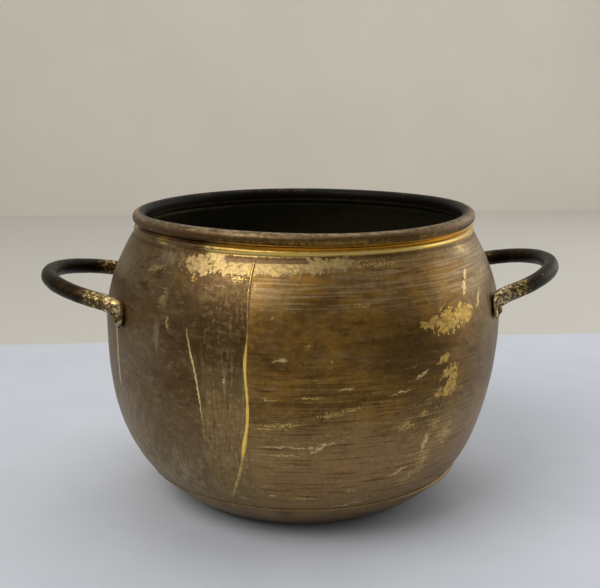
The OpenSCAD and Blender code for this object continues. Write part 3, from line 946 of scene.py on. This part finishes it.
def backdrop_finish():
    s, colour = stage_finish("Pale wall", (0.67, 0.64, 0.57), (0.70, 0.67, 0.60), 200, 0.9)
    s.feed(base_color=colour)
    return s.material


patina = patina_finish()
braze_gold = braze_finish()
handle_dark = handle_finish()
rivet_dull = rivet_finish()
wire_drawn = wire_finish()


# ---------------------------------------------------------------- the sheet pieces

SEGMENTS = 480
DENTS = {"dent_depth": 0.0007, "dent_size": 0.045, "hammer_depth": 0.00035, "hammer_size": 0.013,
         "flat_depth": 0.0026, "flat_direction": direction(72), "flat_height": 0.056,
         "flat_reach": 0.034, "rim_sway": 0.0015, "rim_start": 0.15, "seed": 3.0}


def add_piece(made, slot_name, *nodes):
    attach(made, "root")
    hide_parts(*nodes)
    return made


wall = add_piece(spin("pot_wall", wall_profile(), SEGMENTS, patina, **DENTS), "wall_brass", "wall")
add_piece(spin("pot_bottom", pan_profile(), SEGMENTS, patina, **DENTS), "pan_brass", "bottom_pan")


def surface_of(made):
    mesh = made.data
    mesh.calc_loop_triangles()
    verts = [v.co.copy() for v in mesh.vertices]
    return BVHTree.FromPolygons(verts, [t.vertices[:] for t in mesh.loop_triangles])


wall_surface = surface_of(wall)


def on_wall(bearing, z, clear=0.0):
    """Point on the wall's outside at a bearing and height, moved out by clear, and its normal."""
    way = direction(bearing)
    start = way * (body_r + 0.05) + Vector((0, 0, z))
    place, normal, _, _ = wall_surface.ray_cast(start, -way)
    if normal.dot(way) < 0:
        normal = -normal
    return place + normal * clear, normal


# ---------------------------------------------------------------- beads of braze

def bead_tree():
    """A lumpy bead along a path."""
    tree = Shape("Braze bead", {"Width": ("Float", 0.002), "Lumps": ("Float", 0.3),
                                "Lump size": ("Float", 0.004), "Seed": ("Float", 0.0)})
    given = tree.given
    path = tree.add("GeometryNodeMeshToCurve", [given("Geometry")])
    section = tree.add("GeometryNodeCurvePrimitiveCircle", {"Resolution": 12, "Radius": given("Width") / 2})
    lump = tree.noise(tree.scaled(tree.position(), 1 / given("Lump size")), 2.0, given("Seed"))
    swell = tree.add("GeometryNodeInputNamedAttribute", {"Name": "swell"}, "Attribute", data_type="FLOAT")
    thick = tree.add("GeometryNodeSetCurveRadius", {
        "Curve": path, "Radius": ((lump - 0.5) * given("Lumps") * 4 + 1.0) * swell})
    return tree.end(tree.add("GeometryNodeCurveToMesh", {
        "Curve": thick, "Profile Curve": section, "Fill Caps": True,
        "Scale": tree.add("GeometryNodeInputRadius")}))


braze_bead = bead_tree()


def bead(name, points, swells, material, closed=False, **values):
    """A bead along points, each with its own share of the width."""
    seed_object = polyline(name, points, closed)
    layer = seed_object.data.attributes.new("swell", "FLOAT", "POINT")
    for item, swell in zip(layer.data, swells):
        item.value = swell
    return grown(seed_object, braze_bead, material, **values)


SEAM_FOOT, SEAM_TOP = 0.0235, 0.1605
SEAM_BEARING = -18.6


def seam_bearing(z):
    """The seam runs straight up, and leans away to the left towards its foot."""
    lean = max(0.0, (0.078 - z) / 0.050)
    return SEAM_BEARING - 7.6 * lean ** 1.5 + 0.25 * math.sin(z * 160)


def seam_swell(z):
    """The bead is full below the middle, thin where it was filed down, and tapers at its foot."""
    full = smoothstep(z, 0.129, 0.114) * 0.28 + smoothstep(z, 0.129, 0.136) * 0.28
    low = smoothstep(z, 0.082, 0.062) * 0.20
    return (0.60 + full + low) * mixed(0.6, 1.0, smoothstep(z, SEAM_FOOT, 0.042))


def build_seam():
    heights = steps(170, SEAM_FOOT, SEAM_TOP)
    points = [on_wall(seam_bearing(z), z, -sheet_t * 0.45)[0] for z in heights]
    swells = [seam_swell(z) for z in heights]
    seam = bead("seam_braze", points, swells, braze_gold, width=0.0023, lumps=0.35, lump_size=0.006,
                seed=5.0)
    add_piece(seam, "braze", "wall_seam")


def build_base_ring():
    """The base joint's braze, filed down until it barely stands out and as patinated as the sheet."""
    sunk_r = lower_point(lower_angle(joint_z))[0] - sheet_t * 0.88
    points = [direction(i) * sunk_r + Vector((0, 0, joint_z + 0.2 * MM * math.sin(i * 0.11)))
              for i in range(360)]
    ring = bead("base_braze_ring", points, [1.0] * len(points), patina, closed=True, width=0.0021,
                lumps=0.12, lump_size=0.008, seed=9.0)
    add_piece(ring, "braze", "base_braze")


def build_rim_wire():
    """The wire inside the curl: it sways with it, and is a hair thinner, so that they never touch."""
    outline = [on_rim(0.96 * wire_r, TURN * i / 36) for i in range(36)]
    free_of_soot_and_shade = len(outline) + 1
    wire = spin("rim_wire_ring", (outline, free_of_soot_and_shade), 360, wire_drawn, **DENTS)
    add_piece(wire, "wire_brass", "rim_wire")


build_seam()
build_base_ring()
build_rim_wire()


# ---------------------------------------------------------------- handles

rod_r = 0.0047
loop_r = 0.050
SIDES = {"left": (-1, 12.0), "right": (1, 14.5)}        # the way each loop stands out, and its rise
ENDS = {"front": -1, "back": 1}                         # the way each foot lies along Y
ROD_END, KNUCKLE = 71, 79                               # bends at the rod's end and at its foot's knuckle
KNUCKLE_DROP = 0.4 * MM
ROD_STEPS, FOOT_STEPS, SECTION_POINTS = 110, 14, 44
FOOT_DROP = 5.6 * MM                                    # from the rivet down to the foot's tip
# Each point of a foot: degrees from its rivet, away from the loop; lift above the rivet; and clearance
# from the wall to the middle of the bar.
FOOT_POINTS = ((0.372, -FOOT_DROP, 1.5 * MM), (0.248, -0.55 * FOOT_DROP, 1.7 * MM),
               (0.0, 0.0, 1.75 * MM), (-0.992, 4.4 * MM, 2.5 * MM))
FOOT_HALF_WIDE, FOOT_HALF_THICK = 5.4 * MM, 1.55 * MM
FOOT_SQUARENESS, ROUND = 2.7, 2.0
TIP_SHARE = 0.30                                        # share of the foot that rounds off to its tip
HANDLE_SPARE = 0.15 * MM                                # kept free, so that lumps stay in the handle's box


def catmull(points, per_span):
    """A smooth line through points."""
    made = []
    full = [points[0] * 2 - points[1], *points, points[-1] * 2 - points[-2]]
    for i in range(1, len(full) - 2):
        a, b, c, d = full[i - 1:i + 3]
        for k in range(per_span):
            t = k / per_span
            made.append(0.5 * (2 * b + (c - a) * t + (2 * a - 5 * b + 4 * c - d) * t ** 2
                               + (3 * b - a - 3 * c + d) * t ** 3))
    return made + [points[-1]]


class Handle:
    """One handle: where its rod runs and where its two feet lie on the wall.

    A bend is an angle round the loop, from its outermost point towards the back."""

    def __init__(self, side):
        self.side = side
        self.way, rise = SIDES[side]
        rise = math.radians(rise)
        low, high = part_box("handle_" + side)
        reach = max(abs(low.x), abs(high.x)) - rod_r - HANDLE_SPARE
        root_z = high.z - rod_r - (reach - body_r) * math.tan(rise)
        out = (reach - body_r) / math.cos(rise) - loop_r
        self.along = Vector((self.way * math.cos(rise), 0, math.sin(rise)))
        self.centre = Vector((self.way * body_r, 0, root_z)) + self.along * out

    def rod_out(self, bend):
        a = math.radians(bend)
        return math.cos(a) * self.along + math.sin(a) * Vector((0, 1, 0))

    def rod_point(self, bend):
        return self.centre + loop_r * self.rod_out(bend)

    def rivet_place(self, end):
        """Bearing and height of a rivet."""
        low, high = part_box(f"rivet_{self.side}_{end}")
        middle = (low + high) / 2
        return math.degrees(math.atan2(middle.x, -middle.y)), middle.z

    def foot_points(self, end):
        """Centre points of a foot from its tip to the rod, each with its outward normal."""
        bearing, z = self.rivet_place(end)
        from_loop = self.way * ENDS[end]
        return [on_wall(bearing + from_loop * aside, z + lift, clear)
                for aside, lift, clear in FOOT_POINTS]


handles = [Handle(side) for side in SIDES]


def section(count, power):
    """Unit outline of a bar: round where power is 2, and flatter-sided above it."""
    made = []
    for i in range(count):
        a = TURN * i / count
        c, s = math.cos(a), math.sin(a)
        made.append((math.copysign(abs(c) ** (2 / power), c), math.copysign(abs(s) ** (2 / power), s)))
    return made


def handle_line(handle):
    """Centre points from tip to tip, each foot's normal, and the number of points before the rod."""
    lines, normals = {}, {}
    for end, sign in ENDS.items():
        foot = handle.foot_points(end)
        knuckle = handle.rod_point(sign * KNUCKLE) - Vector((0, 0, KNUCKLE_DROP))
        rod_end = handle.rod_point(sign * ROD_END)
        lines[end] = catmull([p for p, _ in foot] + [knuckle, rod_end], FOOT_STEPS)
        normals[end] = foot[2][1]
    rod = [handle.rod_point(bend) for bend in steps(ROD_STEPS, -ROD_END, ROD_END)]
    centres = lines["front"][:-1] + rod + lines["back"][::-1][1:]
    return centres, normals, len(lines["front"]) - 1


def handle_rings(handle):
    """Rings along the handle: centre, width direction, normal direction, half sizes and squareness."""
    centres, normals, foot_count = handle_line(handle)
    last = len(centres) - 1
    rings = []
    for i, centre in enumerate(centres):
        ahead = (centres[min(i + 1, last)] - centres[max(i - 1, 0)]).normalized()
        end = "front" if i < len(centres) / 2 else "back"
        k = min(i, last - i) / foot_count              # 0 at the tip, 1 where the rod is round
        if k < 1:
            across = ahead.cross(normals[end])
            rod_across = handle.rod_out(ENDS[end] * ROD_END)
            if across.dot(rod_across) < 0:
                across = -across
            wide = across.normalized().lerp(rod_across, smoothstep(k, 0.55, 1.0))
        else:
            wide = handle.rod_out(-ROD_END + 2 * ROD_END * (i - foot_count) / ROD_STEPS)
        wide = (wide - ahead * wide.dot(ahead)).normalized()
        tip = math.sin(min(k / TIP_SHARE, 1.0) * math.pi / 2) ** 1.1
        half_wide = mixed(FOOT_HALF_WIDE, rod_r, smoothstep(k, 0.45, 0.95)) * max(tip, 0.02)
        half_thick = mixed(FOOT_HALF_THICK, rod_r, smoothstep(k, 0.40, 0.82)) * mixed(0.45, 1.0, tip)
        if k == 0:
            half_thick *= 0.3
        power = mixed(FOOT_SQUARENESS, ROUND, smoothstep(k, 0.5, 1.0))
        rings.append((centre, wide, ahead.cross(wide), half_wide, half_thick, power))
    return rings


def build_handle(handle):
    """A bar through the rings, closed at its tips and lumpy from the hammer."""
    count = SECTION_POINTS
    verts, faces = [], []
    rings = handle_rings(handle)
    for centre, wide, thick, half_wide, half_thick, power in rings:
        for a, b in section(count, power):
            spot = centre + wide * (a * half_wide) + thick * (b * half_thick)
            lump = noise.noise(spot * 90) * 0.22 + noise.noise(spot * 260) * 0.10
            out = (wide * a + thick * b).normalized()
            verts.append(spot + out * (lump * MM * min(1.0, half_thick / (2 * MM))))
    for i in range(len(rings) - 1):
        for j in range(count):
            a, b = i * count + j, i * count + (j + 1) % count
            faces.append((a, b, b + count, a + count))
    faces.append(tuple(range(count))[::-1])
    faces.append(tuple(range(len(verts) - count, len(verts))))
    made = mesh_object("handle_bar_" + handle.side, verts, faces=faces)
    made.data.materials.append(handle_dark)
    tidy_mesh(made.data)
    add_piece(made, "handle_brass", "handle_" + handle.side)


for handle in handles:
    build_handle(handle)


# ---------------------------------------------------------------- rivets

HEAD_OUT = 3.1 * MM                         # from the wall to the middle of a head on a handle's foot
BLOWS_PER_METRE = 420.0                     # how finely the heads are hammered


def rivet_tree():
    """Hammered rivet heads, one on each point of the mesh, facing along its normal."""
    tree = Shape("Rivets", {"Head radius": ("Float", 0.0032), "Head height": ("Float", 0.0017),
                            "Dents": ("Float", 0.0003), "Seed": ("Float", 0.0)})
    given = tree.given
    ball = tree.add("GeometryNodeMeshUVSphere", {"Segments": 32, "Rings": 20, "Radius": 1.0}, "Mesh")
    size = tree.joined(given("Head radius"), given("Head radius"), given("Head height"))
    head = tree.add("GeometryNodeTransform", {"Geometry": ball, "Scale": size})
    normal = tree.add("GeometryNodeInputNamedAttribute", {"Name": "out_way"}, "Attribute",
                      data_type="FLOAT_VECTOR")
    turned = tree.add("FunctionNodeAlignRotationToVector", {"Vector": normal}, axis="Z")
    heads = tree.add("GeometryNodeInstanceOnPoints", {
        "Points": given("Geometry"), "Instance": head, "Rotation": turned})
    real = tree.add("GeometryNodeRealizeInstances", [heads])
    blow = tree.noise(tree.scaled(tree.position(), BLOWS_PER_METRE), 1.0, given("Seed"))
    shift = tree.scaled(tree.add("GeometryNodeInputNormal"), (blow - 0.5) * given("Dents"))
    return tree.end(tree.add("GeometryNodeSetPosition", {"Geometry": real, "Offset": shift}))


def build_rivets():
    """Each rivet has a head outside, on its handle's foot, and one inside, on the wall."""
    places, ways, nodes = [], [], []
    for handle in handles:
        for end in ENDS:
            bearing, z = handle.rivet_place(end)
            outside, normal = on_wall(bearing, z, HEAD_OUT)
            inside, _ = on_wall(bearing, z, -sheet_t - 0.1 * MM)
            places += [outside, inside]
            ways += [normal, -normal]
            nodes.append(f"rivet_{handle.side}_{end}")
    seed_object = mesh_object("rivets", places)
    layer = seed_object.data.attributes.new("out_way", "FLOAT_VECTOR", "POINT")
    for item, way in zip(layer.data, ways):
        item.vector = way
    add_piece(grown(seed_object, rivet_tree(), rivet_dull, seed=2.0), "rivet_brass", *nodes)


build_rivets()

# ---------------------------------------------------------------- floor, light and camera

BACKDROP_Y = 1.2
POT_MIDDLE = (0, 0, 0.1)
# Each light's place, size, power and colour.
LIGHTS = {
    "window": ((-0.9, -0.7, 1.3), (1.2, 1.0), 16, (1.0, 0.96, 0.90)),
    "top": ((0.2, 0.4, 1.6), (1.6, 1.6), 10, (1.0, 1.0, 1.0)),
    "right_panel": ((1.05, 0.32, 0.42), (1.2, 0.7), 4.5, (1.0, 0.98, 0.95))}
CAMERA_BEARING = -4.5
CAMERA_AWAY, CAMERA_HEIGHT = 0.6034, 0.2575
CAMERA_PITCH, CAMERA_ASIDE = 12.74, 0.172   # how far it looks down, and to the left of the axis


def stage_sheet(name, corners, material):
    sheet = mesh_object(name, corners, faces=[(0, 1, 2, 3)])
    sheet.data.materials.append(material)


def area_light(name, place, size, power, colour):
    """A soft light aimed at the pot and hidden from the camera."""
    light = bpy.data.lights.new(name, "AREA")
    light.shape = "RECTANGLE"
    light.size, light.size_y = size
    light.energy = power
    light.color = colour
    made = add_to_scene(name, light)
    made.location = place
    made.rotation_euler = (Vector(POT_MIDDLE) - Vector(place)).to_track_quat("-Z", "Y").to_euler()
    made.visible_camera = False


def build_camera():
    camera = bpy.data.cameras.new("camera")
    camera.lens = 60.0
    camera.sensor_width = 36.0
    made = add_to_scene("camera", camera)
    made.location = direction(CAMERA_BEARING) * CAMERA_AWAY + Vector((0, 0, CAMERA_HEIGHT))
    made.rotation_euler = (math.radians(90 - CAMERA_PITCH), 0.0, math.radians(CAMERA_BEARING + CAMERA_ASIDE))
    bpy.context.scene.camera = made


stage_sheet("floor", [(-7, -7, 0), (7, -7, 0), (7, 7, 0), (-7, 7, 0)], floor_finish())
stage_sheet("backdrop", [(-4, BACKDROP_Y, 0), (4, BACKDROP_Y, 0), (4, BACKDROP_Y, 4), (-4, BACKDROP_Y, 4)],
            backdrop_finish())
for light_name, light_values in LIGHTS.items():
    area_light(light_name, *light_values)
world = bpy.data.worlds.new("room")
bpy.context.scene.world = world
world.use_nodes = True
room_light = world.node_tree.nodes["Background"].inputs
room_light["Color"].default_value = (0.85, 0.84, 0.82, 1)
room_light["Strength"].default_value = 0.31
bpy.context.scene.view_settings.view_transform = "Standard"
build_camera()
